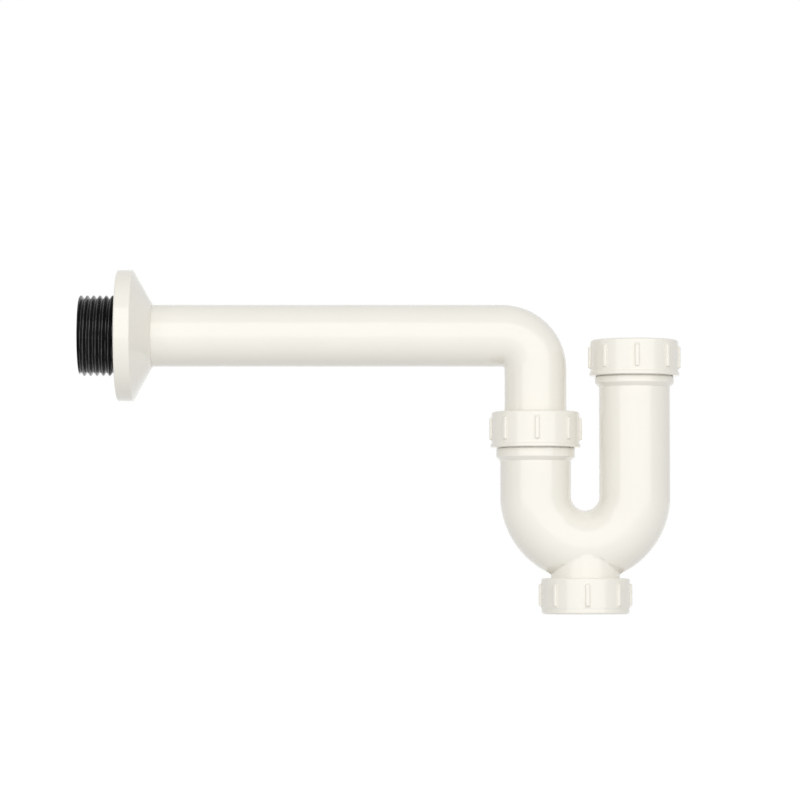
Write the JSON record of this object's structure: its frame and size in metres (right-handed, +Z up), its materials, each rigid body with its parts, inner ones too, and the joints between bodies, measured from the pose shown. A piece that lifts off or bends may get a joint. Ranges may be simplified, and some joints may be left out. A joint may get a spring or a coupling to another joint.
{
  "type": "wash basin trap",
  "caption": "Wash basin P-trap: U-bend with cleaning cap, union nuts, long outlet arm with sliding wall flange and black ribbed rubber wall sleeve.",
  "frame": {"origin": "middle of the inlet socket's mouth, inside the inlet seal", "axes": "+Z up along the inlet, out of its mouth; -X along the outlet arm to the wall; +Y away from the viewer of the picture"},
  "size_m": [0.311, 0.068, 0.178],
  "materials": {
    "ivory_plastic": "glossy warm off-white polypropylene",
    "black_rubber": "shiny black rubber",
    "grey_rubber": "soft grey sealing rubber",
    "white_slip_plastic": "smooth low-friction plastic"
  },
  "bodies": {
    "trap_body": {"u_bend": "ivory_plastic", "inlet_seal": "grey_rubber"},
    "inlet_ring": {"inlet_washer": "white_slip_plastic"},
    "inlet_union": {"inlet_nut": "ivory_plastic"},
    "outlet_ring": {"outlet_washer": "white_slip_plastic"},
    "outlet_union": {"outlet_nut": "ivory_plastic"},
    "cap_ring": {"cap_gasket": "black_rubber"},
    "cap_screw": {"cleaning_cap": "ivory_plastic"},
    "arm_seal": {"outlet_seal": "grey_rubber"},
    "outlet_arm": {"outlet_pipe": "ivory_plastic", "wall_sleeve": "black_rubber"},
    "wall_cover": {"wall_flange": "ivory_plastic"}
  },
  "joints": [
    {"name": "inlet_nut_lift", "type": "slide", "parent": "trap_body", "child": "inlet_ring", "axis": [0, 0, 1], "range_m": [0, 0.013]},
    {"name": "inlet_nut_turn", "type": "hinge", "parent": "inlet_ring", "child": "inlet_union", "pos_m": [0, 0, 0], "axis": [0, 0, 1], "range_deg": [0, 2026]},
    {"name": "outlet_nut_lift", "type": "slide", "parent": "trap_body", "child": "outlet_ring", "axis": [0, 0, 1], "range_m": [0, 0.013]},
    {"name": "outlet_nut_turn", "type": "hinge", "parent": "outlet_ring", "child": "outlet_union", "pos_m": [-0.0512, 0, -0.0371], "axis": [0, 0, 1], "range_deg": [0, 2026]},
    {"name": "cap_drop", "type": "slide", "parent": "trap_body", "child": "cap_ring", "axis": [0, 0, -1], "range_m": [0, 0.014]},
    {"name": "cap_turn", "type": "hinge", "parent": "cap_ring", "child": "cap_screw", "pos_m": [-0.0256, 0, -0.1305], "axis": [0, 0, -1], "range_deg": [0, 2182]},
    {"name": "arm_swivel", "type": "hinge", "parent": "trap_body", "child": "arm_seal", "pos_m": [-0.0512, 0, -0.0371], "axis": [0, 0, 1], "range_deg": [-120, 120]},
    {"name": "arm_height", "type": "slide", "parent": "arm_seal", "child": "outlet_arm", "axis": [0, 0, 1], "range_m": [-0.008, 0.015]},
    {"name": "flange_slide", "type": "slide", "parent": "outlet_arm", "child": "wall_cover", "axis": [1, 0, 0], "range_m": [0, 0.15]}
  ],
  "couplings": [
    {"joint": "inlet_nut_lift", "follows": "inlet_nut_turn", "m_per_rad": 0.00036749},
    {"joint": "outlet_nut_lift", "follows": "outlet_nut_turn", "m_per_rad": 0.00036749},
    {"joint": "cap_drop", "follows": "cap_turn", "m_per_rad": 0.00036749}
  ]
}
